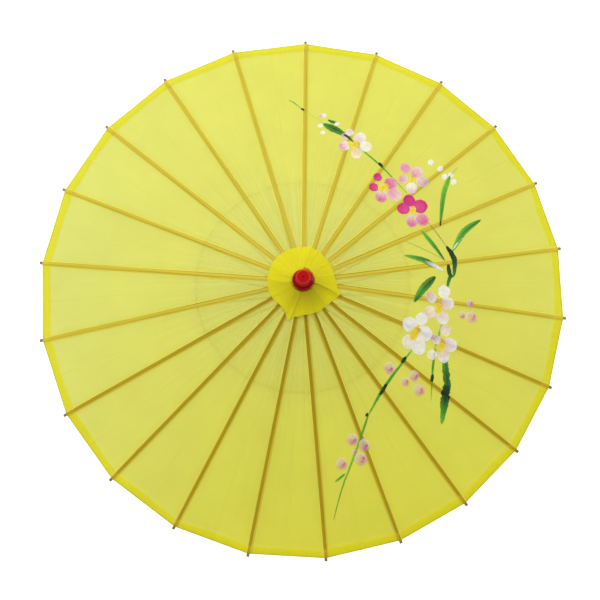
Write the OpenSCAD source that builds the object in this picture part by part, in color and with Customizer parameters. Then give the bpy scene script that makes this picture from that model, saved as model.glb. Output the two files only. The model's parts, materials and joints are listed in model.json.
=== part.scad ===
// Open hand-made parasol: a cloth canopy on split-bamboo ribs, folded by a runner on a wooden pole.
// The frame's origin is the centre of the handle's lower end, with +Z up the pole.

/* [Canopy] */
// Number of ribs round the pole, and of stretchers under them
rib_count = 22; // [16:2:22]
// Radius of the circle of rib tips when open
tip_radius = 410; // [380:5:450]
// Fall of an open rib below the horizontal, in degrees
canopy_slope = 16; // [14:1:20]
// Bare length of each rib past the hem
tip_overhang = 5; // [4:1:14]
// Thickness of the canopy cloth
cloth_t = 0.4; // [0.3:0.1:0.8]
// Radius of the gathered cloth collar over the top notch
collar_r = 55; // [45:1:60]

/* [Ribs and stretchers] */
// Width of a rib where it carries the cloth
rib_w = 5; // [4.2:0.1:5.1]
// Depth of a rib above its pivot line
rib_above = 1.5; // [1.4:0.1:2]
// Depth of a rib below its pivot line
rib_below = 2.5; // [2:0.1:2.8]
// Distance along a rib from the notch pivot to the stretcher peg
joint_along = 160; // [150:5:170]
// Width of a stretcher
stretcher_w = 3.2; // [2.6:0.1:3.6]
// How far the hand-set ribs turn towards the painted side, in degrees, with 0 for an even spread
rib_crowding = 3; // [0:0.5:3.5]

/* [Pole] */
// Height of the rib pivots above the handle's lower end
pivot_z = 516; // [500:1:560]
// Radius of the pole
shaft_r = 5.5; // [5:0.1:6]
// Radius of the turned notches that hold the ribs and stretchers
notch_r = 20; // [19.5:0.1:21]
// Radius of the straight part of the handle
handle_r = 8.5; // [8:0.1:10]
// Length of the straight part of the handle
handle_straight = 80; // [70:1:82]

/* [Finial] */
// Radius of the finial's base ring
finial_base_r = 16.3; // [14:0.1:18]
// Radius of the finial's knob
finial_knob_r = 11.7; // [10:0.1:13]

/* [Hidden] */
$fn = 64;

function two_digits(k) = k < 10 ? str("0", k) : str(k);
function numbered(name, k) = str(name, "_", two_digits(k));

// Pivot ring shared by both notches
pivot_r = 17;
wire_r = 0.5;
wire_channel_r = 0.55;
wire_hole_r = 0.6;
slot_w = 2.5;
slot_floor_r = 13;
tab_w = 2.2;
tab_r = 2.4;
glue_gap = 0.03;

// Ribs
crowded_azimuth = 12.5;
rib_length = (tip_radius - pivot_r) / cos(canopy_slope);
tip_below = 1.4;
taper_from = 250;
tab_end = 20;
root_w = 4.2;
root_end = 42;
full_width_from = 150;
tip_w = 4.2;
split_w = 1.9;
split_skin = 0.6;
split_inward = 6.5;
split_outward = 60;

// Stretcher pegs sit a little below each rib's pivot line
peg_drop = 1.2;
peg_r = 0.55;
peg_hole_r = 0.62;
joint_r = pivot_r + joint_along * cos(canopy_slope) - peg_drop * sin(canopy_slope);
joint_z = pivot_z - joint_along * sin(canopy_slope) - peg_drop * cos(canopy_slope);
stretcher_length = norm([joint_r - pivot_r, pivot_z - joint_z]);
stretcher_slope = atan2(pivot_z - joint_z, joint_r - pivot_r);
stretcher_half = 1.75;
blade_w = 1.5;
blade_end = 57;
blade_shoulder = 65;

// The linkage is isosceles, so the runner pivots stay straight below the notch pivots
runner_z = 2 * joint_z - pivot_z;
runner_bore_r = shaft_r + 0.2;
runner_half = 7;
runner_tail = 55;
sleeve_r = 9.5;
flange_r = 11.5;

// Top notch, neck and finial, as heights above the rib pivots
notch_bottom = -12;
notch_top = 6;
notch_slot_top = 3.5;
neck_top = 10;
neck_r = 8;
finial_bottom = 10.2;
shaft_top = 17;

// Handle
handle_bore_z = 12;
bead_r = handle_r + 1.5;

// Catch: a sprung tongue in a slot of the pole, just under the open runner
catch_gap = 0.4;
catch_length = 39;
catch_w = 3;
catch_slot_w = 3.6;
catch_pin_x = 2.5;
catch_pin_r = 0.8;
catch_pin_length = 8.6;
catch_tooth_r = 8.2;
catch_z = runner_z - runner_tail - catch_gap - catch_length;

function even_azimuth(k) = 90 + (k - 1) * 360 / rib_count;
function rib_azimuth(k) = even_azimuth(k) - rib_crowding * sin(even_azimuth(k) - crowded_azimuth);
function arc(x, y, r, from, to, steps = 8) =
    [for (i = [0:steps]) let (a = from + (to - from) * i / steps) [x + r * cos(a), y + r * sin(a)]];

// Draws its children in a rib's own frame: x along the rib, y across it, z towards the cloth
module on_rib(k) {
    rotate([0, 0, rib_azimuth(k)])
        translate([pivot_r, 0, pivot_z])
            rotate([0, canopy_slope, 0])
                children();
}

// Draws its children in a stretcher's own frame: x from its peg towards the runner
module on_stretcher(k) {
    rotate([0, 0, rib_azimuth(k)])
        translate([joint_r, 0, joint_z])
            rotate([0, 180 - stretcher_slope, 0])
                children();
}

// A side outline in x and z, given thickness w across y
module side_slab(w) {
    rotate([90, 0, 0])
        linear_extrude(height = w, center = true)
            children();
}

// A round bar across a rib or stretcher at x, z
module cross_bar(x, z, r, w) {
    translate([x, 0, z])
        rotate([90, 0, 0])
            cylinder(r = r, h = w, center = true, $fn = 24);
}

// The mirrored outline of a strip whose half width changes along x
module strip_plan(stations) {
    upper = [for (p = stations) [p[0], p[1] / 2]];
    lower = [for (i = [len(stations) - 1:-1:0]) [stations[i][0], -stations[i][1] / 2]];
    linear_extrude(height = 20, center = true)
        polygon(concat(upper, lower));
}

module rib(k) {
    color("burlywood")
        on_rib(k)
            difference() {
                intersection() {
                    side_slab(rib_w + 1)
                        polygon(concat(arc(0, 0, tab_r, 180 - asin(rib_above / tab_r), 270),
                                       [[taper_from, -rib_below], [rib_length, -tip_below],
                                        [rib_length, rib_above]]));
                    strip_plan([[-4, tab_w], [tab_end, tab_w], [root_end, root_w], [full_width_from, rib_w],
                                [rib_length - 60, rib_w], [rib_length + 1, tip_w]]);
                }
                cross_bar(0, 0, wire_hole_r, rib_w + 2);
                cross_bar(joint_along, -peg_drop, peg_hole_r, rib_w + 2);
                translate([joint_along - split_inward, -split_w / 2, rib_above - split_skin - 10])
                    cube([split_inward + split_outward, split_w, 10]);
            }
}

module stretcher(k) {
    color("wheat")
        on_stretcher(k) {
            difference() {
                intersection() {
                    side_slab(stretcher_w + 1)
                        polygon(concat(arc(0, 0, stretcher_half, 90, 270),
                                       arc(stretcher_length, 0, stretcher_half, -90, 90)));
                    strip_plan([[-3, blade_w], [blade_end, blade_w], [blade_shoulder, stretcher_w],
                                [stretcher_length - tab_end, stretcher_w],
                                [stretcher_length - tab_end + 7, tab_w],
                                [stretcher_length + 3, tab_w]]);
                }
                cross_bar(0, 0, peg_r + glue_gap, stretcher_w + 2);
                cross_bar(stretcher_length, 0, wire_hole_r, stretcher_w + 2);
            }
            cross_bar(0, 0, peg_r, rib_w - 0.1);
        }
}

// Radial slots for one tab per rib, cut upwards from floor to ceiling
module tab_slots(floor_z, ceiling_z) {
    for (k = [1:rib_count])
        rotate([0, 0, rib_azimuth(k)])
            translate([slot_floor_r, -slot_w / 2, floor_z])
                cube([notch_r, slot_w, ceiling_z - floor_z]);
}

// A ring of round wire on the pivot circle
module pivot_ring(z, r) {
    translate([0, 0, z])
        rotate_extrude()
            translate([pivot_r, 0])
                circle(r = r, $fn = 24);
}

module top_notch() {
    color("tan")
        difference() {
            translate([0, 0, pivot_z])
                rotate_extrude()
                    polygon([[shaft_r + glue_gap, notch_bottom], [notch_r - 2, notch_bottom],
                             [notch_r, notch_bottom + 2], [notch_r, notch_top - 1.5],
                             [notch_r - 1.5, notch_top], [neck_r, notch_top],
                             [neck_r, neck_top], [shaft_r + glue_gap, neck_top]]);
            tab_slots(pivot_z + notch_bottom - 1, pivot_z + notch_slot_top);
            pivot_ring(pivot_z, wire_channel_r);
        }
}

module notch_wire() {
    color("silver") pivot_ring(pivot_z, wire_r);
}

module runner() {
    color("tan")
        difference() {
            translate([0, 0, runner_z])
                rotate_extrude()
                    polygon([[runner_bore_r, runner_half], [notch_r - 1.5, runner_half],
                             [notch_r, runner_half - 1.5], [notch_r, -runner_half + 1.5],
                             [notch_r - 1.5, -runner_half], [sleeve_r + 1, -runner_half - 3],
                             [sleeve_r, -runner_half - 6], [sleeve_r, -runner_tail + 9],
                             [flange_r, -runner_tail + 7], [flange_r, -runner_tail + 1],
                             [flange_r - 1, -runner_tail], [runner_bore_r, -runner_tail]]);
            tab_slots(runner_z - 2.2, runner_z + runner_half + 1);
            pivot_ring(runner_z, wire_channel_r);
        }
}

module runner_wire() {
    color("silver") pivot_ring(runner_z, wire_r);
}

module shaft() {
    color("peru")
        difference() {
            translate([0, 0, handle_bore_z])
                cylinder(r = shaft_r, h = pivot_z + shaft_top - handle_bore_z);
            translate([-3.3, -catch_slot_w / 2, catch_z - 6])
                cube([shaft_r + 5, catch_slot_w, catch_length + 9]);
            cross_bar(catch_pin_x, catch_z, catch_pin_r + glue_gap, 4 * shaft_r);
        }
}

module catch() {
    color("darkkhaki")
        translate([0, 0, catch_z])
            difference() {
                side_slab(catch_w)
                    polygon([[0.9, -3], [4.2, -3], [4.2, catch_length - 13],
                             [catch_tooth_r, catch_length - 1.5], [catch_tooth_r, catch_length],
                             [0.9, catch_length]]);
                cross_bar(catch_pin_x, 0, catch_pin_r + 0.08, catch_w + 2);
            }
}

module catch_pin() {
    color("silver") cross_bar(catch_pin_x, catch_z, catch_pin_r, catch_pin_length);
}

module handle() {
    color("saddlebrown")
        rotate_extrude()
            polygon(concat(
                [[0, 0], [handle_r, 0], [handle_r, handle_straight]],
                arc(handle_r, handle_straight + 3.5, bead_r - handle_r + 1, -60, 60),
                [[handle_r, handle_straight + 8], [shaft_r + 1.2, handle_straight + 14.5],
                 [shaft_r + glue_gap, handle_straight + 15], [shaft_r + glue_gap, handle_bore_z],
                 [0, handle_bore_z]]));
}

module finial() {
    step_z = finial_bottom + 7.2;
    top_z = finial_bottom + 26.5;
    color("red")
        translate([0, 0, pivot_z])
            rotate_extrude()
                polygon(concat(
                    [[shaft_r + glue_gap, finial_bottom]],
                    arc(finial_base_r - 2.4, finial_bottom + 2.4, 2.4, -90, 60),
                    [[finial_knob_r + 1.3, step_z - 1.6]],
                    arc(finial_knob_r + 0.9, step_z - 0.2, 0.9, 250, 180, 4),
                    arc(finial_knob_r - 2.6, top_z - 2.6, 2.6, 0, 80),
                    [[2.2, top_z + 0.1], [1.1, top_z - 0.4], [0, top_z - 0.5],
                     [0, shaft_top + 0.2], [shaft_r + glue_gap, shaft_top + 0.2]]));
}

// The corner of the cloth on rib k: at distance s along the rib and height n above its pivot line
function cloth_point(k, s, n) =
    let (r = pivot_r + s * cos(canopy_slope) + n * sin(canopy_slope), a = rib_azimuth(k))
    [r * cos(a), r * sin(a), pivot_z - s * sin(canopy_slope) + n * cos(canopy_slope)];

module canopy() {
    inner_s = (notch_r + 1.5 - pivot_r) / cos(canopy_slope);
    outer_s = rib_length - tip_overhang;
    under = rib_above + 0.35;
    over = under + cloth_t;
    corners = [for (k = [1:rib_count]) each [
        cloth_point(k, inner_s, under), cloth_point(k, inner_s, over),
        cloth_point(k, outer_s, over), cloth_point(k, outer_s, under)]];
    total = len(corners);
    sides = [for (i = [0:4:total - 4], e = [0:3])
        [i + e, i + (e + 1) % 4, (i + 4 + (e + 1) % 4) % total, (i + 4 + e) % total]];
    color("gold", 0.8) polyhedron(points = corners, faces = sides, convexity = 4);
}

module collar() {
    rise = 0.6;
    color("yellow")
        translate([0, 0, pivot_z])
            rotate_extrude()
                polygon([[neck_r + 0.2, notch_top + 1], [notch_r, notch_top + 0.5],
                         [collar_r, -6.5], [collar_r, -6.5 + rise],
                         [notch_r, notch_top + 0.5 + rise], [neck_r + 0.2, notch_top + 1 + rise]]);
}

module collar_tie() {
    color("gold")
        translate([0, 0, pivot_z + notch_top + 2.6])
            rotate_extrude()
                translate([neck_r + 1.2, 0])
                    circle(r = 0.8, $fn = 24);
}

shaft();
handle();
finial();
top_notch();
notch_wire();
canopy();
collar();
collar_tie();
runner();
runner_wire();
catch();
catch_pin();
for (k = [1:rib_count]) {
    rib(k);
    stretcher(k);
}
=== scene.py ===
import json
import math
import random

import bpy
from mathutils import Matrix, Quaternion, Vector, noise


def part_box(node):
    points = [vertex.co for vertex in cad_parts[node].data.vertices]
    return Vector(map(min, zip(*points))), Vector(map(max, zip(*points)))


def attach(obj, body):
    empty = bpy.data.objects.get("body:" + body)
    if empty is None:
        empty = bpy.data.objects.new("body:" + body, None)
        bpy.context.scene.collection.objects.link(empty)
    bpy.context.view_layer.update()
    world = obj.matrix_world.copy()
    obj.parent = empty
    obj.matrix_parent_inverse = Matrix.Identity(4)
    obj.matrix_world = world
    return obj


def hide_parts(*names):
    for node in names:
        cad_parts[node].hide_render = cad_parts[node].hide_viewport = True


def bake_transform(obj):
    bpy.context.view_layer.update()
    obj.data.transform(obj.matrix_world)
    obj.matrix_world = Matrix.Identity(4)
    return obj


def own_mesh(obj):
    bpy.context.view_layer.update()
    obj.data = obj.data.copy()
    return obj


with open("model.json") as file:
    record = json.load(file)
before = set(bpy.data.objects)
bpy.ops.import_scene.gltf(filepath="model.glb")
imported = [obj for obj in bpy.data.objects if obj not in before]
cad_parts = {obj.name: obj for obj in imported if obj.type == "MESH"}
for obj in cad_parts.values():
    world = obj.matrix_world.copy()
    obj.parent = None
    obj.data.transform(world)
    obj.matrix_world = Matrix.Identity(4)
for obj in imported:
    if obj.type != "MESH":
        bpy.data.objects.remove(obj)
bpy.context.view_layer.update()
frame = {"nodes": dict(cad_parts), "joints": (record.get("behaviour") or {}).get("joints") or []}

# The looks of a folding parasol: painted yellow cloth over split-bamboo ribs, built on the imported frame.
# Lengths are in metres, in the frame's own axes. A rib's own plan is (x, t): x out along it, t across it.

MM = 0.001

# ---------------------------------------------------------------- the frame's own geometry

rib_joints = sorted((j for j in frame["joints"] if j["child"].startswith("rib_")), key=lambda j: j["child"])
RIBS = len(rib_joints)
AZIMUTHS = [math.atan2(j["pos_m"][1], j["pos_m"][0]) for j in rib_joints]
PIVOT_R = math.hypot(*rib_joints[0]["pos_m"][:2])
PIVOT_Z = rib_joints[0]["pos_m"][2]
SLOPE = math.radians(16)
HEM_R = max(v.co.xy.length for v in frame["nodes"]["canopy"].data.vertices)
UP = Vector((0, 0, 1))

# The ribs are spaced evenly and then turned towards one side, by up to CROWDING
CROWDING = math.radians(3)
CROWDED_AZIMUTH = math.radians(12.5)

# The cloth lies this far above the ribs' pivot line, and starts outside the top notch
CLOTH_RISE = 1.7 * MM
INNER_R = 30.5 * MM
# Half the width of the band of cloth that is glued over a rib
STRIP_HALF = 2.2 * MM
# The relief of a gore: how far it sags, the old fold line down its middle, and its wrinkles
SAG = 0.75 * MM
CREASE_HEIGHT = 0.25 * MM
CREASE_WIDTH = 2.0 * MM
WRINKLE = 0.3 * MM
WRINKLE_LENGTH = 90 * MM
# The folded hem: its width, how unevenly it was folded, and how far it stands out from the cloth
HEM_WIDTH = 12.0 * MM
HEM_UNEVEN = 3.0 * MM
HEM_STEP = 0.35 * MM


def azimuth(k):
    """The direction of rib k, counted from 0, as an angle from +X."""
    return AZIMUTHS[k % RIBS]


def half_gore(k, side):
    """Half the angle from rib k to the next rib on a side: 1 is anticlockwise from above, -1 clockwise."""
    return (side * (azimuth(k + side) - azimuth(k))) % (2 * math.pi) / 2


def axes(k):
    """Rib k's directions: out along its plan, across it, and away from the cloth's face."""
    a = azimuth(k)
    out = Vector((math.cos(a), math.sin(a), 0))
    across = Vector((-math.sin(a), math.cos(a), 0))
    return out, across, out * math.sin(SLOPE) + UP * math.cos(SLOPE)


def body(k):
    return f"rib_{k % RIBS + 1:02d}"


def sign(t):
    return 1 if t >= 0 else -1


def shadow_side(k):
    """The side of rib k where its painted shadow lies: 1 or -1 across it."""
    return -1 if math.cos(azimuth(k)) + 0.3 * math.sin(azimuth(k)) > 0 else 1


def row_point(k, reach, t):
    """The plan point at t across rib k, on the straight row of thread that meets the rib at reach."""
    return reach - abs(t) * math.tan(half_gore(k, sign(t))), t


def middle(k, side, reach):
    """How far across rib k that row meets the middle line of the gore."""
    return reach * math.cos(half_gore(k, side)) * math.sin(half_gore(k, side))


def gore_place(k, x, t):
    """For a plan point of rib k: where its row meets the rib, and how far it is from the gore's middle."""
    half = half_gore(k, sign(t))
    return x + abs(t) * math.tan(half), abs(x * math.sin(half) - abs(t) * math.cos(half))


def cloth_height(k, x, t):
    """Height of the cloth over a plan point of rib k: flat gores, with sag, fold lines and wrinkles."""
    reach, from_middle = gore_place(k, x, t)
    width = reach * math.sin(half_gore(k, sign(t)))
    share = max(0.0, 1 - from_middle / width)
    belly = share * (2 - share)
    flat = PIVOT_Z + CLOTH_RISE / math.cos(SLOPE) - (reach - PIVOT_R) * math.tan(SLOPE)
    crease = CREASE_HEIGHT * (reach / HEM_R) ** 2 * max(0.0, 1 - from_middle / CREASE_WIDTH)
    angle = azimuth(k) + math.atan2(t, x)
    spot = Vector((14 * math.cos(angle), 14 * math.sin(angle), reach / WRINKLE_LENGTH))
    wrinkle = WRINKLE * belly * noise.noise(spot)
    return flat - SAG * belly * reach / HEM_R + crease + wrinkle


def on_cloth(k, x, t, lift=0.0):
    out, across, _ = axes(k)
    return out * x + across * t + UP * (cloth_height(k, x, t) + lift)


# ---------------------------------------------------------------- camera, floor and light

CAMERA_TARGET = Vector((0, 0, 0.42))
CAMERA_AZIMUTH = math.radians(-5.6)
CAMERA_ELEVATION = math.radians(79.35)
CAMERA_ROLL = math.radians(3.5)
CAMERA_DISTANCE = 3.0
SENSOR = 36
FOCAL_SHARE = 3.243
SHIFT = (-0.0036, -0.0109)


def add_camera():
    data = bpy.data.cameras.new("camera")
    data.sensor_width = SENSOR
    data.lens = SENSOR * FOCAL_SHARE
    data.shift_x, data.shift_y = SHIFT
    data.clip_end = 100
    camera = bpy.data.objects.new("camera", data)
    bpy.context.scene.collection.objects.link(camera)
    level = math.cos(CAMERA_ELEVATION)
    back = Vector((math.sin(CAMERA_AZIMUTH) * level, -math.cos(CAMERA_AZIMUTH) * level,
                   math.sin(CAMERA_ELEVATION)))
    camera.location = CAMERA_TARGET + back * CAMERA_DISTANCE
    level_turn = (-back).to_track_quat("-Z", "Y")
    camera.rotation_euler = (level_turn @ Quaternion((0, 0, 1), CAMERA_ROLL)).to_euler()
    bpy.context.scene.camera = camera


def add_area_light(name, place, target, size, power):
    data = bpy.data.lights.new(name, "AREA")
    data.shape = "DISK"
    data.size = size
    data.energy = power
    light = bpy.data.objects.new(name, data)
    bpy.context.scene.collection.objects.link(light)
    light.location = place
    light.rotation_euler = (Vector(target) - Vector(place)).to_track_quat("-Z", "Y").to_euler()
    light.visible_camera = False


def add_world(strength):
    world = bpy.data.worlds.new("studio")
    bpy.context.scene.world = world
    world.use_nodes = True
    background = world.node_tree.nodes["Background"]
    background.inputs["Color"].default_value = (1, 1, 1, 1)
    background.inputs["Strength"].default_value = strength


add_camera()
bpy.context.scene.view_settings.view_transform = "Standard"
add_world(0.45)
# The three upper lights aim at the canopy. The low one shines in under its far side.
CANOPY_MIDDLE = (0, 0, 0.4)
add_area_light("key", (-1.15, 2.25, 2.8), CANOPY_MIDDLE, 1.6, 51)
add_area_light("left", (-2.0, 0.5, 3.4), CANOPY_MIDDLE, 1.2, 19.5)
add_area_light("right", (2.4, 0.8, 2.2), CANOPY_MIDDLE, 1.0, 18.5)
add_area_light("under", (0.1, 1.35, 0.08), (0.05, -0.2, 0.42), 0.9, 5.5)


# ---------------------------------------------------------------- materials

def srgb(red, green, blue, alpha=1.0):
    """A colour picked as 0 to 255 values, as the linear values that a shader takes."""
    def linear(v):
        v /= 255
        return v / 12.92 if v <= 0.04045 else ((v + 0.055) / 1.055) ** 2.4
    return linear(red), linear(green), linear(blue), alpha


class Maker:
    """Writes one material's node tree."""

    def __init__(self, name):
        self.material = bpy.data.materials.new(name)
        self.material.use_nodes = True
        self.tree = self.material.node_tree
        self.tree.nodes.clear()

    def node(self, kind, inputs=None, **settings):
        made = self.tree.nodes.new("ShaderNode" + kind)
        for key, value in settings.items():
            setattr(made, key, value)
        for key, value in (inputs or {}).items():
            if isinstance(value, bpy.types.NodeSocket):
                self.tree.links.new(value, made.inputs[key])
            else:
                made.inputs[key].default_value = value
        return made

    def math(self, operation, a, b=0.0, clamp=False):
        return self.node("Math", {0: a, 1: b}, operation=operation, use_clamp=clamp).outputs[0]

    def times(self, *values):
        product = values[0]
        for value in values[1:]:
            product = self.math("MULTIPLY", product, value)
        return product

    def mix(self, share, a, b):
        return self.node("Mix", {0: share, 6: a, 7: b}, data_type="RGBA").outputs[2]

    def span(self, value, low, high, to_low=0.0, to_high=1.0):
        return self.node("MapRange", {0: value, 1: low, 2: high, 3: to_low, 4: to_high}).outputs[0]

    def vector(self, x, y, z=0.0):
        return self.node("CombineXYZ", {0: x, 1: y, 2: z}).outputs[0]

    def noise(self, spot, scale, detail=2.0, rough=0.5):
        inputs = {"Vector": spot, "Scale": scale, "Detail": detail, "Roughness": rough}
        return self.node("TexNoise", inputs).outputs[0]

    def bump(self, height, distance, strength=1.0, under=None):
        inputs = {"Height": height, "Distance": distance, "Strength": strength}
        if under is not None:
            inputs["Normal"] = under
        return self.node("Bump", inputs).outputs[0]

    def plan(self, x, y):
        """From plan x and y: how far out it is, how far across the nearest rib, and that rib's number.

        Two rounds bring the angle close to the one that the rib had before the crowding."""
        out = self.math("SQRT", self.math("ADD", self.times(x, x), self.times(y, y)))
        angle = self.math("ARCTAN2", y, x)
        even = angle
        for _ in range(2):
            turned = self.math("SINE", self.math("SUBTRACT", even, CROWDED_AZIMUTH))
            even = self.math("ADD", angle, self.times(turned, CROWDING))
        turns = self.times(self.math("SUBTRACT", even, math.pi / 2), RIBS / (2 * math.pi))
        number = self.math("ROUND", turns)
        across = self.times(self.math("SUBTRACT", turns, number), 2 * math.pi / RIBS)
        return out, self.times(across, out), number

    def done(self, shader):
        self.node("OutputMaterial", {"Surface": shader.outputs[0]})
        return self.material


def cloth_material(name, deep, lit_pale, glow_colour, glow, see, glued=0.0):
    """Thin dyed cloth, palest towards -X and deepest towards -Y: painted light.

    glow is the share of light that passes through it, see the share of clear gaps, and glued how much the
    bands along the ribs show: the paste that holds it to them, and painted light and shade. The ribs show
    less through it on the +Y half and near the hub, painted light that makes them look lighter there. Each
    point's gore place is its distance to its rib's lower side, along it, and from the gore's middle line."""
    m = Maker(name)
    place = m.node("Attribute", attribute_name="gore")
    across, along, from_middle = m.node("SeparateXYZ", {0: place.outputs["Vector"]}).outputs
    spot = m.node("Attribute", attribute_name="plan").outputs["Vector"]
    out = m.node("VectorMath", {0: spot}, operation="LENGTH").outputs["Value"]
    direction = m.node("VectorMath", {0: spot}, operation="NORMALIZE").outputs[0]
    to_east, to_north, _ = m.node("SeparateXYZ", {0: direction}).outputs
    x, y, _ = m.node("SeparateXYZ", {0: spot}).outputs
    east = m.math("DIVIDE", x, HEM_R)
    north = m.math("DIVIDE", y, HEM_R)

    mottle = m.noise(spot, 9, 3)
    drape = m.noise(spot, 26, 2)
    spread = m.node("VectorMath", {0: direction, 1: (55, 55, 0)}, operation="MULTIPLY").outputs[0]
    streak_spot = m.node("VectorMath", {0: spread, 1: m.vector(0.0, 0.0, m.times(out, 2.5))},
                         operation="ADD").outputs[0]
    streaks = m.noise(streak_spot, 1.0, 3, 0.65)

    # Bands along a rib, of paste and of painted light and shade, in mm across it: the middle, half the width,
    # and the soft edge
    lean = m.span(m.noise(spot, 5, 1), 0.35, 0.65, -0.4 * MM, 0.4 * MM)
    across_glue = m.math("ADD", across, lean)

    def band(middle, half, edge):
        away = m.math("ABSOLUTE", m.math("SUBTRACT", across_glue, middle * MM))
        return m.times(m.span(away, half * MM, (half + edge) * MM, 1.0, 0.0), glued)

    near_hub = m.span(out, 0.07, 0.26, 1.0, 0.12)
    by_hub = m.span(out, 0.12, 0.22, 1.0, 0.15)
    sideways = m.math("ABSOLUTE", to_east)
    lit_half = m.span(to_north, -0.45, -0.1)
    paste = band(0.0, 4.0, 3.2)
    soaked = band(0.0, 2.1, 0.5)
    shadow_band = m.times(band(3.2, 1.3, 0.7), m.span(out, 0.1, 0.3, 1.0, 0.8))
    # A clear line beside the rib on its lit side stands in for a highlight
    thin = band(-3.1, 0.2, 0.6)
    # Painted light: beside the rib near the hub, on the sideways ribs, less light passes, so it looks lighter
    plateau = m.times(band(0.7, 1.3, 0.9), m.times(by_hub, sideways))
    edge_line = m.times(band(-2.3, 0.4, 0.5), m.times(by_hub, sideways))

    # Painted light: the colour is palest towards -X and deepest towards -Y, and it is a little paler round
    # the hub
    turned = m.math("SUBTRACT", 0.19, m.times(m.math("ADD", east, north), 0.26))
    lit_pale_share = m.math("ADD", m.times(m.math("SUBTRACT", north, east), turned), 0.46, clamp=True)
    lit_pale_share = m.math("ADD", lit_pale_share, m.span(out, 0.08, 0.2, 0.2, 0.0), clamp=True)
    dyed = m.mix(m.times(paste, 0.7), m.mix(lit_pale_share, deep, lit_pale), srgb(234, 228, 36))
    # Over the rib the soaked paste is lighter on the +Y half: painted light
    soaked_lit_colour = m.mix(lit_half, srgb(244, 210, 24), srgb(238, 216, 60))
    dyed = m.mix(m.times(soaked, 0.8), dyed, soaked_lit_colour)
    # Painted shade: the ribs on the -Y half are darker near the hub
    shaded = m.times(soaked, m.math("SUBTRACT", 1.0, lit_half))
    dyed = m.mix(m.times(shaded, m.span(out, 0.06, 0.24, 0.45, 0.0)), dyed, srgb(120, 88, 4))
    # A painted shadow of the rib, on its shadow side
    dyed = m.mix(m.times(shadow_band, 0.9), dyed, srgb(216, 190, 34))
    # A painted shadow line along the rib's other edge near the hub
    dyed = m.mix(m.times(edge_line, 0.5), dyed, srgb(150, 112, 10))
    if not glued:
        # Painted shade: the collar is darker by the neck, most on the -Y side
        low_side = m.span(to_north, -0.9, 0.1, 1.0, 0.15)
        neck_shade = m.times(m.span(out, 0.016, 0.046, 0.5, 0.0), low_side)
        dyed = m.mix(neck_shade, dyed, srgb(140, 124, 8))

    # Lighter and darker patches, fine streaks near the hub, and darker fold lines further out
    shade = m.times(m.span(mottle, 0.35, 0.65, -0.5, 0.5), 0.05)
    shade = m.math("ADD", shade, m.times(m.span(drape, 0.3, 0.7, -0.5, 0.5), 0.03))
    shade = m.math("ADD", shade, m.times(m.span(streaks, 0.3, 0.7, -0.5, 0.5), near_hub, 0.16))
    fold_line = m.span(from_middle, 0.4 * MM, 1.6 * MM, 1.0, 0.0)
    fold_line = m.times(fold_line, m.math("SUBTRACT", 1.0, near_hub))
    fold_darker = m.times(fold_line, m.span(drape, 0.4, 0.65, 0.0, 0.055 * glued))
    shade = m.math("SUBTRACT", shade, fold_darker)
    dyed = m.node("HueSaturation", {"Value": m.math("ADD", shade, 1.0), "Color": dyed}).outputs[0]

    pitch = 2 * math.pi / (0.5 * MM)
    warp = m.math("SINE", m.times(across, pitch))
    weft = m.math("SINE", m.times(along, pitch))
    weave = m.bump(m.times(warp, weft), 0.02 * MM, 0.6)
    creases = m.bump(m.times(streaks, near_hub), 1.6 * MM, 0.6, weave)
    front = m.node("BsdfPrincipled", {"Base Color": dyed, "Roughness": 0.62, "Specular IOR Level": 0.25,
                                      "Sheen Weight": 0.1, "Sheen Roughness": 0.4, "Normal": creases})
    lit = m.node("Mix", {0: 1.0, 6: dyed, 7: glow_colour}, data_type="RGBA",
                 blend_type="MULTIPLY").outputs[2]
    through = m.node("BsdfTranslucent", {"Color": lit, "Normal": creases})

    # Painted light: over the ribs on the +Y half, and beside them near the hub, less light passes and fewer
    # gaps show, so they look lighter
    gaps = see
    if glued:
        veil = m.times(soaked, lit_half, m.span(to_north, 0, 1, 0.65, 0.45))
        veil = m.times(veil, m.span(out, 0.1, 0.22, 0.75, 1.0))
        veil = m.math("ADD", veil, m.times(plateau, 0.3), clamp=True)
        veil = m.times(veil, m.math("SUBTRACT", 1.0, edge_line))
        unveiled = m.math("SUBTRACT", 1.0, veil)
        glow = m.times(unveiled, m.span(out, 0.06, 0.22, 0.75 * glow, glow))
        gaps = m.times(m.math("ADD", m.times(soaked, 0.12), m.times(thin, 0.13)), unveiled)
        gaps = m.math("ADD", gaps, see)
    solid = m.node("MixShader", {0: glow, 1: front.outputs[0], 2: through.outputs[0]})
    clear = m.node("BsdfTransparent", {"Color": (1.0, 0.98, 0.5, 1)})
    return m.done(m.node("MixShader", {0: gaps, 1: solid.outputs[0], 2: clear.outputs[0]}))


def paint_material():
    """Brushed-on colour: its tint and its strength come with the strokes."""
    m = Maker("brushed_paint")
    tint = m.node("Attribute", attribute_name="paint")
    spot = m.node("Attribute", attribute_name="plan").outputs["Vector"]
    bristles = m.noise(spot, 700, 3, 0.7)
    washes = m.noise(spot, 160, 2)
    colour = m.node("HueSaturation", {"Value": m.span(washes, 0.3, 0.7, 0.9, 1.08),
                                      "Color": tint.outputs["Color"]}).outputs[0]
    cover = m.math("SUBTRACT", tint.outputs["Alpha"], m.span(bristles, 0.55, 0.8, 0.0, 0.18), clamp=True)
    relief = m.bump(bristles, 0.08 * MM, 0.6)
    front = m.node("BsdfPrincipled", {"Base Color": colour, "Roughness": 0.5, "Specular IOR Level": 0.3,
                                      "Normal": relief})
    through = m.node("BsdfTranslucent", {"Color": colour, "Normal": relief})
    solid = m.node("MixShader", {0: 0.25, 1: front.outputs[0], 2: through.outputs[0]})
    clear = m.node("BsdfTransparent")
    return m.done(m.node("MixShader", {0: m.math("SUBTRACT", 1.0, cover), 1: solid.outputs[0],
                                       2: clear.outputs[0]}))


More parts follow.
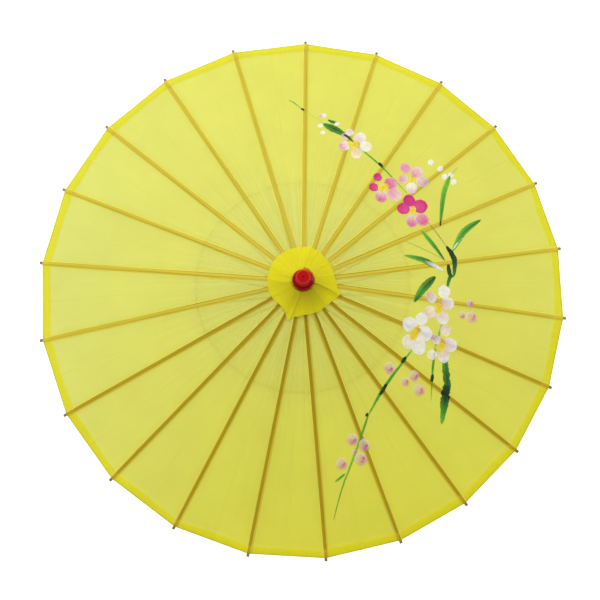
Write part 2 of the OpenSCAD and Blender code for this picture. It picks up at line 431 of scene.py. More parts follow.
def thread_material():
    m = Maker("cotton_thread")
    place = m.node("TexCoord").outputs["Object"]
    twist = m.noise(place, 1800, 2)
    colour = m.mix(twist, srgb(205, 180, 70), srgb(240, 225, 120))
    return m.done(m.node("BsdfPrincipled", {"Base Color": colour, "Roughness": 0.8, "Sheen Weight": 0.3,
                                            "Normal": m.bump(twist, 0.1 * MM)}))


def bamboo_material():
    """Split bamboo: straight fibres along each piece, a darker nodal mark, and no two pieces alike."""
    m = Maker("split_bamboo")
    place = m.node("SeparateXYZ", {0: m.node("TexCoord").outputs["Object"]})
    out, across, number = m.plan(place.outputs[0], place.outputs[1])
    level = place.outputs[2]
    own = m.node("TexWhiteNoise", {"W": number}, noise_dimensions="1D").outputs[0]
    fibre_spot = m.vector(m.times(out, 14), m.times(across, 2600),
                          m.math("ADD", m.times(level, 2600), m.times(number, 7.3)))
    fibres = m.noise(fibre_spot, 1.0, 4, 0.7)
    blotch = m.noise(m.vector(m.times(out, 30), m.times(number, 3.1)), 1.0, 3)
    pale = m.mix(own, srgb(208, 188, 118), srgb(192, 166, 92))
    colour = m.mix(m.span(fibres, 0.35, 0.7), pale, srgb(156, 124, 62))
    colour = m.mix(m.times(m.span(blotch, 0.55, 0.8), 0.5), colour, srgb(136, 102, 46))
    node_at = m.math("ADD", 0.20, m.times(own, 0.12))
    from_node = m.math("ABSOLUTE", m.math("SUBTRACT", out, node_at))
    colour = m.mix(m.span(from_node, 0.8 * MM, 2.2 * MM, 0.55, 0.0), colour, srgb(110, 72, 34))
    # Painted shade: darker towards the hub, where the stretchers crowd
    colour = m.mix(m.span(out, 0.05, 0.15, 0.45, 0.0), colour, srgb(100, 72, 26))
    colour = m.mix(m.span(out, HEM_R - 2 * MM, HEM_R + 1 * MM, 0.0, 0.7), colour, srgb(112, 96, 44))
    return m.done(m.node("BsdfPrincipled", {
        "Base Color": colour, "Roughness": m.span(fibres, 0.3, 0.7, 0.38, 0.58),
        "Specular IOR Level": 0.4, "Normal": m.bump(fibres, 0.12 * MM, 0.7)}))


def turned_wood_material(name, light, dark, rough, coat=0.0):
    """Wood turned on the pole's axis: long grain up it, faint tool rings round it."""
    m = Maker(name)
    place = m.node("SeparateXYZ", {0: m.node("TexCoord").outputs["Object"]})
    x, y, level = place.outputs
    grain_spot = m.vector(m.times(x, 420), m.times(y, 420), m.times(level, 9))
    grain = m.noise(grain_spot, 1.0, 5, 0.65)
    figure = m.noise(grain_spot, 0.25, 2)
    pore_spot = m.node("VectorMath", {0: grain_spot, 1: (4, 4, 6)}, operation="MULTIPLY").outputs[0]
    pores = m.noise(pore_spot, 1.0, 2)
    rings = m.math("SINE", m.times(level, 2 * math.pi / (1.1 * MM)))
    colour = m.mix(m.span(grain, 0.3, 0.72), light, dark)
    colour = m.mix(m.times(m.span(figure, 0.5, 0.7), 0.35), colour, dark)
    height = m.math("ADD", m.times(rings, 0.12), m.times(pores, 0.6))
    return m.done(m.node("BsdfPrincipled", {
        "Base Color": colour, "Roughness": m.span(grain, 0.3, 0.7, rough, rough + 0.15),
        "Specular IOR Level": 0.45, "Coat Weight": coat, "Coat Roughness": 0.15,
        "Normal": m.bump(height, 0.06 * MM, 0.6)}))


# The finial's painted light: shade in the groove above its lower end, a highlight on the edge of its knob,
# and shade in the dimple in the knob's top
GROOVE_UP = 7.0 * MM
KNOB_EDGE_R = 9.7 * MM
DIMPLE_R = 2.4 * MM


def lacquer_material():
    """Red lacquer over turned wood: a little worn, with a painted highlight round the knob's edge, and
    painted shade in its groove and its dimple.
    """
    m = Maker("red_lacquer")
    place = m.node("TexCoord").outputs["Object"]
    x, y, level = m.node("SeparateXYZ", {0: place}).outputs
    r = m.math("SQRT", m.math("ADD", m.times(x, x), m.times(y, y)))
    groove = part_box("finial")[0].z + GROOVE_UP
    from_groove = m.math("ABSOLUTE", m.math("SUBTRACT", level, groove))
    # Painted shade in the groove
    groove_shade = m.times(m.span(from_groove, 0.8 * MM, 3 * MM, 1.0, 0.0), m.span(r, 10.5 * MM, 12.5 * MM))
    from_edge = m.math("ABSOLUTE", m.math("SUBTRACT", r, KNOB_EDGE_R))
    dimple = m.span(r, 1.0 * MM, DIMPLE_R, 1.0, 0.0)
    clouds = m.noise(place, 160, 3)
    orange_peel = m.noise(place, 900, 2)
    wear = m.noise(place, 420, 4, 0.7)
    colour = m.mix(clouds, srgb(200, 10, 18), srgb(160, 4, 12))
    colour = m.mix(m.span(wear, 0.68, 0.8, 0.0, 0.3), colour, srgb(205, 50, 44))
    colour = m.mix(m.times(groove_shade, 0.85), colour, srgb(52, 0, 4))
    # A painted highlight round the knob's edge
    colour = m.mix(m.span(from_edge, 0.3 * MM, 1.0 * MM, 0.45, 0.0), colour, srgb(232, 84, 70))
    # Painted shade in the dimple
    colour = m.mix(m.times(dimple, 0.7), colour, srgb(96, 2, 6))
    return m.done(m.node("BsdfPrincipled", {
        "Base Color": colour, "Roughness": m.span(m.math("ADD", orange_peel, dimple), 0.3, 1.4, 0.26, 0.8),
        "Specular IOR Level": 0.08, "Coat Weight": m.span(dimple, 0.0, 1.0, 0.12, 0.0),
        "Coat Roughness": 0.12, "Normal": m.bump(orange_peel, 0.05 * MM, 0.5)}))


def steel_material():
    m = Maker("drawn_steel")
    scratches = m.noise(m.node("TexCoord").outputs["Object"], 2500, 2)
    return m.done(m.node("BsdfPrincipled", {
        "Base Color": m.mix(scratches, (0.42, 0.42, 0.43, 1), (0.66, 0.65, 0.63, 1)), "Metallic": 1.0,
        "Roughness": m.span(scratches, 0.3, 0.7, 0.25, 0.45)}))


def floor_material():
    m = Maker("pale_floor")
    spots = m.noise(m.node("TexCoord").outputs["Object"], 3, 2)
    colour = m.mix(spots, (0.94, 0.94, 0.94, 1), (0.96, 0.96, 0.96, 1))
    return m.done(m.node("BsdfPrincipled", {
        "Base Color": colour, "Roughness": 0.9, "Specular IOR Level": 0.1,
        "Emission Color": (1, 1, 1, 1), "Emission Strength": 0.6}))


CLOTH = cloth_material("thin_cloth", deep=srgb(226, 221, 58), lit_pale=srgb(221, 226, 128),
                       glow_colour=srgb(208, 208, 160), glow=0.5, see=0.05, glued=1.0)
HEM = cloth_material("folded_cloth", deep=srgb(228, 222, 10), lit_pale=srgb(231, 228, 42),
                     glow_colour=srgb(205, 202, 110), glow=0.42, see=0.02, glued=1.0)
GATHERED = cloth_material("gathered_cloth", deep=srgb(245, 232, 2), lit_pale=srgb(245, 235, 10),
                          glow_colour=srgb(200, 196, 120), glow=0.2, see=0.0)
PAINT = paint_material()
THREAD = thread_material()

# ---------------------------------------------------------------- mesh pieces


class Piece:
    """Gathers a mesh: its points with their paint colour, and its faces with their material."""

    def __init__(self, name, rib, materials):
        self.name = name
        self.rib = rib
        self.materials = materials
        self.points = []
        self.paint = []
        self.faces = []
        self.slots = []

    def point(self, place, paint=(0, 0, 0, 0)):
        self.points.append(place)
        self.paint.append(paint)
        return len(self.points) - 1

    def face(self, corners, slot=0):
        self.faces.append(corners)
        self.slots.append(slot)

    def grid(self, rows, slot_of_row):
        """Joins rows of points, each of the same length, into quads that face up."""
        numbered = [[self.point(p) for p in row] for row in rows]
        for i in range(len(rows) - 1):
            for j in range(len(rows[0]) - 1):
                quad = (numbered[i][j], numbered[i + 1][j], numbered[i + 1][j + 1], numbered[i][j + 1])
                self.face(quad, slot_of_row(i))

    def tube(self, points, radius, slot, sides=5):
        """A round thread along points."""
        rings = []
        for i, p in enumerate(points):
            ahead = (points[min(i + 1, len(points) - 1)] - points[max(i - 1, 0)]).normalized()
            side = ahead.cross(UP).normalized()
            top = side.cross(ahead)
            turns = [2 * math.pi * j / sides for j in range(sides)]
            rings.append([self.point(p + (side * math.cos(a) + top * math.sin(a)) * radius) for a in turns])
        for a, b in zip(rings, rings[1:]):
            for j in range(sides):
                self.face((a[j], a[(j + 1) % sides], b[(j + 1) % sides], b[j]), slot)

    def gore(self, p):
        """A point's distance to the lower side of the piece's rib, along it, and from the gore's middle."""
        out, across, _ = axes(self.rib)
        x, t = p.dot(out), p.dot(across)
        return t * shadow_side(self.rib), x, gore_place(self.rib, x, t)[1]

    def set_places(self, mesh, name, values):
        layer = mesh.attributes.new(name, "FLOAT_VECTOR", "POINT")
        layer.data.foreach_set("vector", [v for value in values for v in value])

    def build(self):
        mesh = bpy.data.meshes.new(self.name)
        mesh.from_pydata([tuple(p) for p in self.points], [], self.faces)
        for material in self.materials:
            mesh.materials.append(material)
        mesh.polygons.foreach_set("material_index", self.slots)
        mesh.polygons.foreach_set("use_smooth", [True] * len(self.faces))
        self.set_places(mesh, "plan", [(p.x, p.y, 0) for p in self.points])
        self.set_places(mesh, "gore", [self.gore(p) for p in self.points])
        paint = mesh.color_attributes.new("paint", "FLOAT_COLOR", "POINT")
        for i, colour in enumerate(self.paint):
            paint.data[i].color = colour
        mesh.update()
        made = bpy.data.objects.new(self.name, mesh)
        bpy.context.scene.collection.objects.link(made)
        return made


# ---------------------------------------------------------------- the painted spray
# Strokes are lists of small convex faces. A corner is (x, y, colour), in millimetres from the pole's axis.

WHITE = srgb(253, 251, 252, 0.97)
CREAM = srgb(252, 244, 224, 0.92)
PEACH = srgb(250, 214, 180, 0.92)
PALE = srgb(248, 216, 220, 0.93)
BLUSH = srgb(244, 228, 196, 0.8)
DUSK = srgb(230, 170, 150, 0.85)
PINK = srgb(244, 160, 198, 0.94)
ROSE = srgb(232, 84, 158, 0.96)
MAGENTA = srgb(230, 50, 148, 0.98)
CRIMSON = srgb(176, 8, 84, 0.98)
MAUVE = srgb(226, 186, 190, 0.9)
GOLD = srgb(255, 230, 2, 0.98)
ORANGE = srgb(244, 184, 6, 0.96)
LIME = srgb(128, 206, 62, 0.96)
GREEN = srgb(58, 156, 52, 0.97)
DEEP = srgb(22, 92, 36, 0.98)
BARK = srgb(22, 44, 22, 0.98)

# Across a brush stroke: the place from -1 to 1, the share of paler paint, and the share that isn't darkened
BRISTLES = [(-1, 0.2, 1), (-0.6, 0.9, 1), (-0.15, 0.3, 0.9), (0.1, 0, 0.62), (0.35, 0.1, 0.9), (0.7, 0.5, 1),
            (1, 0.1, 0.9)]
# The yellow heart of a blossom: each dab's place along it and radius, as shares of its size, and its tint
HEART_DABS = [(-0.45, 0.7, GOLD), (0.4, 0.62, ORANGE), (0, 0.6, GOLD)]
# Every heart is painted this much larger than its given size, and a faint touch has this much of its paint
HEART_SCALE = 1.3
FAINT = 0.6
# The first stroke lies this far above the cloth in mm, and each later one a little higher
PAINT_LIFT = 0.15
STROKE_LIFT = 0.006

brush = random.Random(11)
strokes = []


def blend_colour(a, b, share):
    return tuple(p + (q - p) * share for p, q in zip(a, b))


def dab(x, y, radius, near, far, lean, length=1.08):
    """One petal or bud: a round dab with an uneven, paler rim, tinted from near to far along lean."""
    sides, steps = 20, 5
    edge = [1 + 0.045 * brush.uniform(-1, 1) for _ in range(sides)]
    rim = CRIMSON if MAGENTA in (near, far) else WHITE
    streak = brush.uniform(0, 2 * math.pi)
    rings = []
    for s in range(1, steps + 1):
        ring = []
        for i in range(sides):
            a = 2 * math.pi * i / sides
            reach = radius * edge[i] * s / steps
            along, side = reach * math.cos(a) * length, reach * math.sin(a)
            share = 0.5 + 0.75 * along / radius / length + 0.12 * math.sin(9 * side / radius + streak)
            tint = blend_colour(near, far, min(1.0, max(0.0, share + brush.uniform(-0.12, 0.12))))
            tint = blend_colour(tint, rim, max(0.0, (s - 3) * 0.12 + brush.uniform(-0.05, 0.08)))
            ring.append((x + along * math.cos(lean) - side * math.sin(lean),
                         y + along * math.sin(lean) + side * math.cos(lean), tint))
        rings.append(ring)
    middle = (x, y, blend_colour(near, far, 0.5))
    faces = [(middle, rings[0][i], rings[0][(i + 1) % sides]) for i in range(sides)]
    for a, b in zip(rings, rings[1:]):
        faces += [(a[i], b[i], b[(i + 1) % sides], a[(i + 1) % sides]) for i in range(sides)]
    strokes.append(faces)


def curve(points, steps):
    """A smooth line through points, as steps pieces for each gap."""
    line = []
    for i in range(len(points) - 1):
        p = [points[max(0, min(len(points) - 1, i + n))] for n in (-1, 0, 1, 2)]
        for s in range(steps):
            u = s / steps
            line.append(tuple(0.5 * (2 * b + (c - a) * u + (2 * a - 5 * b + 4 * c - d) * u * u
                                     + (3 * b - a - 3 * c + d) * u ** 3) for a, b, c, d in zip(*p)))
    return line + [points[-1]]


def stroke(points, width, colours, ragged=0.0, full_at=0.5, ends=0.1, lit=0.0, rim=None):
    """A brush stroke along points: width at its fullest, narrowing to ends times that at both ends.

    A leaf has lit above 0, for the paler paint beside its vein, and may have a rim of another colour."""
    line = curve(points, 10)
    count = len(line)
    rows = []
    for i, (x, y) in enumerate(line):
        u = i / (count - 1)
        rise = u / full_at if u < full_at else (1 - u) / (1 - full_at)
        half = width / 2 * (ends + (1 - ends) * math.sin(math.pi / 2 * min(1.0, max(0.0, rise))) ** 0.8)
        bx, by = line[min(i + 1, count - 1)]
        ax, ay = line[max(i - 1, 0)]
        long = math.hypot(bx - ax, by - ay)
        nx, ny = -(by - ay) / long, (bx - ax) / long
        place = u * (len(colours) - 1)
        first = min(int(place), len(colours) - 2)
        tint = blend_colour(colours[first], colours[first + 1], place - first)
        row = []
        for v, pale, dark in BRISTLES:
            reach = half * v * (1 + ragged * brush.uniform(-1, 1) if abs(v) == 1 else 1)
            shade = blend_colour(tint, LIME, lit * pale * (1 + 0.3 * brush.uniform(-1, 1)))
            shade = blend_colour(shade, BARK, (1 - dark) * lit)
            if rim and v == 1:
                shade = rim
            row.append((x + nx * reach, y + ny * reach, shade))
        rows.append(row)
    strokes.append([(a[j], b[j], b[j + 1], a[j + 1])
                    for a, b in zip(rows, rows[1:]) for j in range(len(a) - 1)])


def blossom(x, y, petals, heart, heart_lean):
    """A plum blossom: each petal is (angle in degrees, distance out, radius, colour near, colour far)."""
    for degrees, reach, radius, near, far in petals:
        a = math.radians(degrees)
        dab(x + reach * math.cos(a), y + reach * math.sin(a), radius, near, far, a)
    heart *= HEART_SCALE
    for along, radius, far in HEART_DABS:
        step = along * heart
        dab(x + step * math.cos(heart_lean), y + step * math.sin(heart_lean), radius * heart, GOLD, far,
            heart_lean + brush.uniform(-1, 1), 1.2)


def fainter(colour):
    return (*colour[:3], FAINT * colour[3])


def bud(x, y, radius, lean):
    """A pale bud, dusky at its foot, with a few small deeper touches along one side."""
    dab(x, y, radius, BLUSH, DUSK, lean - 0.5)
    for turn in (-0.55, 0.0, 0.5):
        side = lean + turn + brush.uniform(-0.1, 0.1)
        reach = radius * brush.uniform(0.42, 0.62)
        dab(x + reach * math.cos(side), y + reach * math.sin(side), radius * brush.uniform(0.18, 0.3),
            fainter(PINK), fainter(ROSE), side + math.pi / 2, 1.4)


def paint_spray():
    """The spray of plum blossom, from the upper twig round the right side to the lowest tip, in mm."""
    stroke([(-10, 306), (0, 299), (11, 288)], 1.9, [GREEN, LIME])
    stroke([(9, 290), (14, 286)], 3.2, [BARK, BARK], ends=0.4)
    stroke([(14, 286), (27, 276), (44, 262)], 0.6, [LIME, LIME], ends=0.6)
    stroke([(50, 269), (57, 265), (65, 264)], 5.0, [DEEP, GREEN], 0.35)
    stroke([(42, 262), (60, 252), (78, 240)], 11.5, [GREEN, DEEP, GREEN], 0.08, 0.45, lit=0.4)
    for x, y, radius, tint in ((42, 276, 4.6, MAUVE), (38, 259, 3.4, WHITE), (41, 247, 3.2, WHITE),
                               (64, 262, 3.2, WHITE)):
        dab(x, y, radius, WHITE, tint, 3.4, 1.25)
    stroke([(86, 232), (104, 213), (127, 190), (148, 166), (167, 142)], 2.6, [LIME, GREEN, LIME], 0, 0.4)
    stroke([(125, 194), (131, 187)], 5.0, [BARK, DEEP], ends=0.5)
    blossom(89, 226, [(137, 19, 5.8, PALE, MAUVE), (106, 21, 6, WHITE, PALE), (48, 14, 9.2, PALE, WHITE),
                      (-13, 18, 9.2, WHITE, CREAM), (-83, 16, 8.2, PEACH, CREAM),
                      (191, 16, 8.2, WHITE, PINK)], 6.5, 0.15)
    stroke([(73, 243), (80, 238), (88, 229)], 4.0, [BARK, DEEP, GREEN], 0.2)

    stroke([(196, 97), (210, 78), (224, 57)], 0.8, [DEEP, DEEP], ends=0.5)
    blossom(131, 153, [(118, 19, 6.6, ROSE, MAGENTA), (180, 16, 6.8, ROSE, MAGENTA),
                       (31, 13, 9.8, ROSE, PINK), (-108, 16, 9.4, PALE, ROSE), (-37, 20, 10.5, PINK, PALE)],
            6.0, 0.4)
    blossom(176, 167, [(118, 21, 8.2, PINK, PINK), (56, 14, 9.2, PINK, PALE), (180, 14, 7.2, PALE, PINK),
                       (-15, 16, 9.2, PALE, MAUVE), (-98, 15, 8.6, WHITE, PALE)], 4.5, 1.2)
    blossom(174, 116, [(108, 16, 9.2, MAGENTA, MAGENTA), (29, 13, 11, ROSE, MAGENTA),
                       (172, 15, 9.2, ROSE, MAGENTA), (-99, 18, 9.4, PALE, ROSE), (-49, 20, 10, PINK, ROSE)],
            5.0, 1.4)
    for x, y in ((207, 196), (221, 185), (227, 172), (237, 175), (241, 164)):
        dab(x, y, 4.4, WHITE, WHITE, 0.9, 1.15)

    stroke([(249, 189), (236, 174)], 1.0, [LIME, LIME])
    stroke([(236, 174), (224, 144), (215, 92)], 8.0, [GREEN, LIME, GREEN, GREEN], 0.03, 0.4, lit=0.6)
    stroke([(216, 99), (215, 91)], 2.4, [BARK, BARK], ends=0.3)
    stroke([(185, 83), (203, 60), (219, 36)], 6.4, [LIME, GREEN, DEEP], 0.03, 0.35, lit=0.6)
    stroke([(280, 103), (252, 83), (232, 51)], 9.6, [DEEP, GREEN, LIME], 0.03, 0.5, lit=0.8, rim=GREEN)
    stroke([(250, 73), (241, 65), (233, 54)], 2.2, [WHITE, WHITE], 0.1, 0.6, 0.05)
    stroke([(157, 43), (186, 36), (206, 25)], 8.6, [LIME, GREEN, DEEP, GREEN], 0.05, 0.6, 0.2, lit=0.6)
    stroke([(186, 35), (202, 28), (216, 20)], 5.6, [GREEN, WHITE, WHITE], 0.05, 0.4)
    stroke([(158, 66), (190, 52), (220, 37)], 0.6, [GREEN, GREEN], ends=0.5)
    stroke([(223, 59), (234, 38), (232, 12)], 8.0, [BARK, BARK, DEEP, GREEN], 0.12, 0.42, 0.25)
    stroke([(224, 30), (226, 14), (232, 12)], 6.5, [BARK, DEEP, GREEN], 0.1, 0.3, 0.4)
    stroke([(228, 14), (224, 6), (221, -5)], 5.5, [DEEP, GREEN], 0.1, 0.4, 0.4)
    stroke([(203, 11), (184, -7), (168, -29)], 12.0, [BARK, DEEP, GREEN, DEEP], 0.05, 0.42, lit=0.6)

    stroke([(210, -60), (199, -96), (193, -126), (191, -145), (188, -177)], 3.6, [LIME, GREEN, LIME],
           0.1, 0.3)
    stroke([(192, -138), (190, -149)], 5.2, [DEEP, BARK], 0.2, ends=0.4)
    stroke([(212, -116), (213, -140), (215, -164)], 10.5, [GREEN, DEEP, DEEP], 0.2, 0.5, 0.6, lit=0.3)
    stroke([(213, -154), (211, -166), (210, -178)], 12.0, [DEEP, BARK, BARK], 0.3, 0.5, 0.7)
    stroke([(210, -168), (208, -186), (203, -212)], 12.5, [BARK, DEEP, GREEN, LIME], 0.14, 0.25, 0.12,
           lit=0.2)
    stroke([(166, -96), (148, -118), (117, -157), (101, -182), (90, -200)], 4.0, [LIME, GREEN, LIME],
           0.2, 0.5)
    stroke([(92, -196), (82, -222), (66, -262), (48, -305), (34, -350)], 3.2, [GREEN, LIME, GREEN],
           0.15, 0.2)
    for a, b, width in (((152, -112), (145, -121), 5.4), ((121, -152), (110, -168), 5.4),
                        ((91, -194), (88, -199), 4.0)):
        stroke([a, b], width, [BARK, DEEP], 0.1, ends=0.4)
    stroke([(54, -282), (38, -294)], 3.6, [GREEN, LIME])

    blossom(206, -37, [(69, 26, 9.5, WHITE, WHITE), (126, 19, 8, WHITE, MAUVE), (23, 15, 9.5, PALE, WHITE),
                       (207, 16, 9.5, WHITE, PEACH), (-72, 16, 10, PALE, WHITE)], 6.5, 1.3)
    blossom(167, -76, [(62, 24, 9.5, WHITE, WHITE), (120, 14, 11.5, WHITE, WHITE),
                       (-4, 14, 12, WHITE, WHITE), (235, 16, 11, WHITE, CREAM),
                       (-77, 21, 11.5, WHITE, WHITE)], 7.5, 0.9)
    blossom(207, -95, [(71, 24, 8.5, CREAM, PALE), (128, 12, 7, WHITE, MAUVE), (4, 13, 11, PALE, WHITE),
                       (-80, 17, 8.5, PALE, WHITE), (223, 20, 7.5, WHITE, CREAM)], 6.5, 0.9)
    for x, y, radius in ((255, -30, 6), (242, -48, 5.5), (256, -51, 8.5), (126, -128, 8.3),
                         (163, -140, 7.8), (149, -149, 6.5), (170, -161, 8.5), (66, -232, 8.5),
                         (84, -241, 8.5), (69, -250, 4), (78, -261, 9), (49, -267, 8.5)):
        bud(x, y, radius, brush.uniform(-1.2, -0.3))


def clip(face, a, b, c):
    """The part of a convex face where a * x + b * t + c is above 0."""
    kept = []
    for p, q in zip(face, face[1:] + face[:1]):
        sp, sq = (a * v[0] + b * v[1] + c for v in (p, q))
        if sp >= 0:
            kept.append(p)
        if (sp >= 0) != (sq >= 0):
            u = sp / (sp - sq)
            kept.append((p[0] + (q[0] - p[0]) * u, p[1] + (q[1] - p[1]) * u, blend_colour(p[2], q[2], u)))
    return kept


def turn_between(angle, start):
    """The turn from start to angle, from -pi to pi."""
    return (angle - start + math.pi) % (2 * math.pi) - math.pi


def ribs_near(face):
    """The numbers of the ribs whose gores a face touches."""
    found = set()
    for x, y, _ in face:
        angle = math.atan2(y, x)
        found.add(min(range(RIBS), key=lambda k: abs(turn_between(angle, azimuth(k)))))
    return found


def lay_paint(pieces):
    """Cuts every stroke at the edges of the cloth pieces, and lays each bit on its own piece."""
    for number, faces in enumerate(strokes):
        lift = (PAINT_LIFT + STROKE_LIFT * number) * MM
        for face in faces:
            for k in ribs_near(face):
                out, across, _ = axes(k)
                flat = [(out.x * x * MM + out.y * y * MM, across.x * x * MM + across.y * y * MM, c)
                        for x, y, c in face]
                for side in (-1, 0, 1):
                    if side == 0:
                        part = clip(clip(flat, 0, 1, STRIP_HALF), 0, -1, STRIP_HALF)
                    else:
                        part = clip(flat, 0, side, -STRIP_HALF)
                        part = clip(part, math.tan(half_gore(k, side)), -side, 0)
                    if len(part) > 2:
                        piece = pieces[k, side]
                        corners = [piece.point(on_cloth(k, x, t, lift), colour) for x, t, colour in part]
                        piece.face(corners, PAINT_SLOT)


# ---------------------------------------------------------------- the canopy

CLOTH_ROWS = 72
# A gore's material slots are its cloth, its hem, and then these
PAINT_SLOT = 2
THREAD_SLOT = 3
# The lacing thread runs from rib to rib, under the cloth
LACING_R = 163 * MM
LACING_DROP = 1.3 * MM
LACING_HALF_THICK = 0.45 * MM
LACING_STEPS = 8


def row_profile(k, turn):
    """The rows of one column, as (distance along the rib, lift): the cloth, then its uneven folded hem.

    turn is the column's place between rib k, at 0, and the middle of the gore on its side, at 1 or -1."""
    angle = azimuth(k) + turn * half_gore(k, sign(turn))
    hem = HEM_WIDTH + HEM_UNEVEN * noise.noise(Vector((7 * math.cos(angle), 7 * math.sin(angle), 2.5)))
    inside = HEM_R - hem
    rows = [(INNER_R + (inside - INNER_R) * i / CLOTH_ROWS, 0.0) for i in range(CLOTH_ROWS + 1)]
    face = [(inside + 0.4 * MM, HEM_STEP), (inside + hem * 0.5, HEM_STEP), (HEM_R - 0.5 * MM, HEM_STEP)]
    turned_under = [(HEM_R, 0.4 * HEM_STEP), (HEM_R - 0.2 * MM, -0.5 * HEM_STEP),
                    (HEM_R - 1.6 * MM, -0.7 * HEM_STEP)]
    return rows + face + turned_under


def flap(k, side):
    """The cloth from beside rib k to the middle of the gore."""
    columns = [0, 0.04, 0.1, 0.18, 0.27, 0.36, 0.46, 0.56, 0.66, 0.76, 0.85, 0.92, 0.97, 1]
    profiles = [row_profile(k, side * c) for c in columns]
    rows = []
    for i in range(len(profiles[0])):
        row = []
        for column, profile in zip(columns, profiles):
            reach, lift = profile[i]
            t = STRIP_HALF + column * (middle(k, side, reach) - STRIP_HALF)
            row.append(on_cloth(k, *row_point(k, reach, side * t), lift))
        rows.append(row if side > 0 else row[::-1])
    piece = Piece(f"gore_{k + 1:02d}_{'left' if side > 0 else 'right'}", k, [CLOTH, HEM, PAINT, THREAD])
    piece.grid(rows, lambda i: 0 if i < CLOTH_ROWS else 1)
    lace = []
    for i in range(LACING_STEPS + 1):
        t = STRIP_HALF + (middle(k, side, LACING_R) - STRIP_HALF) * i / LACING_STEPS
        lace.append(on_cloth(k, *row_point(k, LACING_R, side * t), -LACING_DROP))
    piece.tube(lace, LACING_HALF_THICK, THREAD_SLOT)
    return piece


def strip(k):
    """The narrow band of cloth glued over rib k."""
    across = [-1, -0.5, 0, 0.5, 1]
    rows = []
    for reach, lift in row_profile(k, 0):
        rows.append([on_cloth(k, *row_point(k, reach, STRIP_HALF * v), lift) for v in across])
    piece = Piece(f"rib_cloth_{k + 1:02d}", k, [CLOTH, HEM, PAINT])
    piece.grid(rows, lambda i: 0 if i < CLOTH_ROWS else 1)
    return piece


def make_canopy():
    pieces = {}
    for k in range(RIBS):
        for side in (-1, 1):
            pieces[k, side] = flap(k, side)
        pieces[k, 0] = strip(k)
    paint_spray()
    lay_paint(pieces)
    for k in range(RIBS):
        band = pieces[k, 0].build()
        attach(band, body(k))
        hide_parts("canopy")
        for side in (-1, 1):
            made = pieces[k, side].build()
            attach(made, body(k))
            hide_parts("canopy")
            on_cloth(k, HEM_R / 2, side * STRIP_HALF)
            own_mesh(made)


# ---------------------------------------------------------------- the collar

COLLAR_R = 55 * MM
NECK_R = 9.3 * MM
NOTCH_R = 20 * MM
FINIAL_R = 16.5 * MM
# The shoulder starts this far above the rib pivots and drops a little to the notch's edge. The skirt then
# falls at its slope, until it lies just over the canopy.
SHOULDER_UP = 9.9 * MM
SHOULDER_DROP = 3.1 * MM
SKIRT_SLOPE = 0.42
OVER_CANOPY = 1.4 * MM
LEAST_OVER_CANOPY = 0.5 * MM
# The collar stays below the finial, and outside it below a cone of this slope
CAP_UP = 9.7 * MM
CAP_SLOPE = 1.3
# Between the pleats the collar lies at VALLEY, in mm. They grow until FULL_AT of the way from the neck to the
# edge, and their strength is PLEAT_STRENGTH at the neck, less PLEAT_FALL at the edge.
VALLEY = -0.9
FULL_AT = 0.2
PLEAT_STRENGTH = 1.35
PLEAT_FALL = 0.65
# Each pleat is (direction in degrees, height in mm, its reach clockwise and anticlockwise in mm, its turn in
# degrees from the edge to the neck)
PLEATS = [(75, 3.8, 8, 1.6, 9), (52, 0.4, 8, 1.6, 9), (34, 0.6, 1.6, 10, 9), (8, 0.4, 1.6, 9, 9),
          (-21, 3.8, 2, 12, 9), (-50, 0.6, 1.6, 9, 9), (-70, 0.5, 1.6, 8, 9), (-91, 4.4, 9, 12, 9),
          (-112, 1.6, 1.3, 1.3, 9), (-134, 3.4, 10, 8, 9), (-160, 0.5, 8, 1.6, 12), (169, 2.0, 10, 3.5, 22),
          (150, 0.7, 9, 1.6, 14), (128, 0.4, 1.6, 9, 9), (103, 0.5, 8, 1.6, 9)]
# A pleat with a reach below SHARP_REACH on one side also has a pinched crest: its share of the height, and
# its reach, in mm as well
SHARP_REACH = 5
PINCH = 0.2
PINCH_REACH = 0.9
# The hand-cut edge, as (direction in degrees, radius in mm)
EDGE = [(-138, 48.5), (-125, 50), (-117, 57), (-113.5, 61.5), (-107, 53.5), (-90, 50), (-60, 49.5),
        (-33, 51.5), (-20, 58.5), (-10, 52), (8, 48.5), (45, 50), (68, 54), (76, 56), (90, 54.5), (135, 55),
        (166, 53.5), (200, 52), (222, 48.5)]
# How unevenly it was cut, besides
EDGE_UNEVEN = 0.5 * MM
# The edge turns over in two rows, in mm: down and a little out, then further down and back in
FACE_DOWN = 0.35
FACE_OUT = 0.1
LIP_DOWN = 0.45
LIP_IN = 1.1


def edge_radius(angle):
    """The collar's radius in a direction, eased between the places of its edge."""
    degrees = (math.degrees(angle) - EDGE[0][0]) % 360 + EDGE[0][0]
    for (a, low), (b, high) in zip(EDGE, EDGE[1:]):
        if degrees <= b:
            u = (degrees - a) / (b - a)
            return (low + (high - low) * u * u * (3 - 2 * u)) * MM
    return EDGE[-1][1] * MM


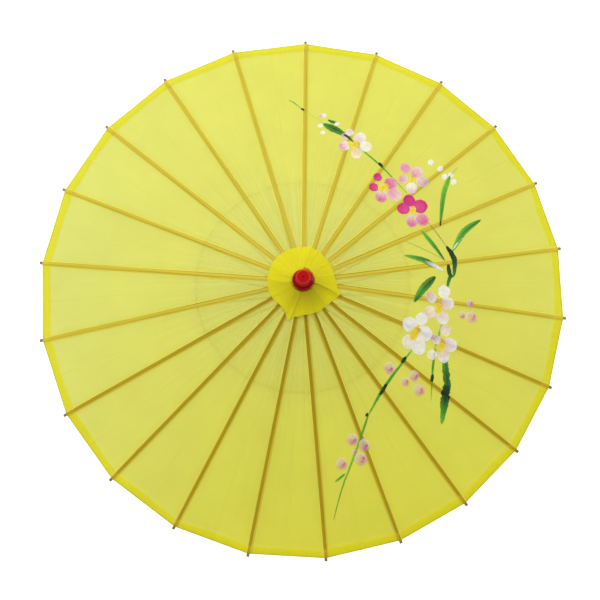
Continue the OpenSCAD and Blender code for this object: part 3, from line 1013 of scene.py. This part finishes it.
def collar_height(r, angle):
    """Height of the collar over a plan point: shoulder, skirt and pleats, kept under the finial."""
    share = (r - NECK_R) / (COLLAR_R - NECK_R)
    pleats = VALLEY
    for degrees, height, clockwise, anticlockwise, turn in PLEATS:
        away = turn_between(angle, math.radians(degrees + turn * (1 - share))) * r / MM
        reach = anticlockwise if away > 0 else clockwise
        pleats += height * math.exp(-(away / reach) ** 2 / (1 + abs(away / reach)))
        if min(clockwise, anticlockwise) < SHARP_REACH:
            pleats += PINCH * height * math.exp(-(away / PINCH_REACH) ** 2)
    loose = min(1.0, share / FULL_AT) * (PLEAT_STRENGTH - PLEAT_FALL * share)
    canopy = PIVOT_Z - (r - PIVOT_R) * math.tan(SLOPE) + CLOTH_RISE
    shoulder = PIVOT_Z + SHOULDER_UP - SHOULDER_DROP * min(1.0, (r - NECK_R) / (NOTCH_R - NECK_R))
    skirt = shoulder - max(0.0, r - NOTCH_R) * SKIRT_SLOPE
    under_finial = PIVOT_Z + CAP_UP + CAP_SLOPE * max(0.0, r - FINIAL_R)
    pleated = max(skirt, canopy + OVER_CANOPY) + pleats * loose * MM
    return max(min(pleated, under_finial), canopy + LEAST_OVER_CANOPY)


def collar_point(k, share, turn):
    """A collar point and its normal in rib k's sector: share from neck to edge, turn across from -1 to 1."""
    angle = azimuth(k) + turn * half_gore(k, sign(turn))
    spot = Vector((4 * math.cos(angle), 4 * math.sin(angle), 5))
    edge = edge_radius(angle) + EDGE_UNEVEN * noise.noise(spot)
    r = NECK_R + (edge - NECK_R) * share
    step = 0.4 * MM
    out = Vector((math.cos(angle), math.sin(angle), 0))
    across = Vector((-out.y, out.x, 0))
    rise = (collar_height(r + step, angle) - collar_height(r - step, angle)) / (2 * step)
    lean = (collar_height(r, angle + step / r) - collar_height(r, angle - step / r)) / (2 * step)
    return out * r + UP * collar_height(r, angle), (UP - out * rise - across * lean).normalized()


def make_collar():
    shares = [0, 0.05, 0.1, 0.15, 0.2, 0.25, 0.3, 0.36, 0.42, 0.5, 0.58, 0.66, 0.74, 0.82, 0.9, 0.96, 1]
    turns = [-1 + j / 10 for j in range(21)]
    for k in range(RIBS):
        out, _, _ = axes(k)
        made_rows = [[collar_point(k, s, t) for t in turns] for s in shares]
        rows = [[p for p, _ in row] for row in made_rows]
        normals = [n for row in made_rows for _, n in row]
        edge = rows[-1]
        rows.append([p - UP * FACE_DOWN * MM + out * FACE_OUT * MM for p in edge])
        rows.append([p - UP * LIP_DOWN * MM - out * LIP_IN * MM for p in edge])
        normals += [out] * len(turns) + [-UP] * len(turns)
        piece = Piece(f"collar_pleat_{k + 1:02d}", k, [GATHERED])
        piece.grid(rows, lambda i: 0)
        made = piece.build()
        made.data.normals_split_custom_set_from_vertices(normals)
        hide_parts("collar")
        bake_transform(made)


# ---------------------------------------------------------------- finishes of the CAD nodes

def finish_nodes():
    bamboo = bamboo_material()
    steel = steel_material()
    notch = turned_wood_material("notch_wood", srgb(214, 178, 122), srgb(178, 132, 78), 0.45)
    finishes = {
        "shaft": turned_wood_material("pole_wood", srgb(206, 164, 104), srgb(156, 106, 56), 0.4, 0.2),
        "handle": turned_wood_material("handle_wood", srgb(150, 88, 42), srgb(84, 42, 18), 0.3, 0.6),
        "finial": lacquer_material(), "top_notch": notch, "runner": notch, "notch_wire": steel,
        "runner_wire": steel, "catch_pin": steel, "catch": bamboo, "collar_tie": THREAD}
    for name, node in frame["nodes"].items():
        material = finishes.get(name, bamboo)
        if name in ("canopy", "collar"):
            continue
        node.data.materials.clear()
        node.data.materials.append(material)


def add_floor():
    mesh = bpy.data.meshes.new("floor")
    reach = 30
    mesh.from_pydata([(-reach, -reach, 0), (reach, -reach, 0), (reach, reach, 0), (-reach, reach, 0)], [],
                     [(0, 1, 2, 3)])
    mesh.materials.append(floor_material())
    floor = bpy.data.objects.new("floor", mesh)
    bpy.context.scene.collection.objects.link(floor)


make_canopy()
make_collar()
finish_nodes()
add_floor()
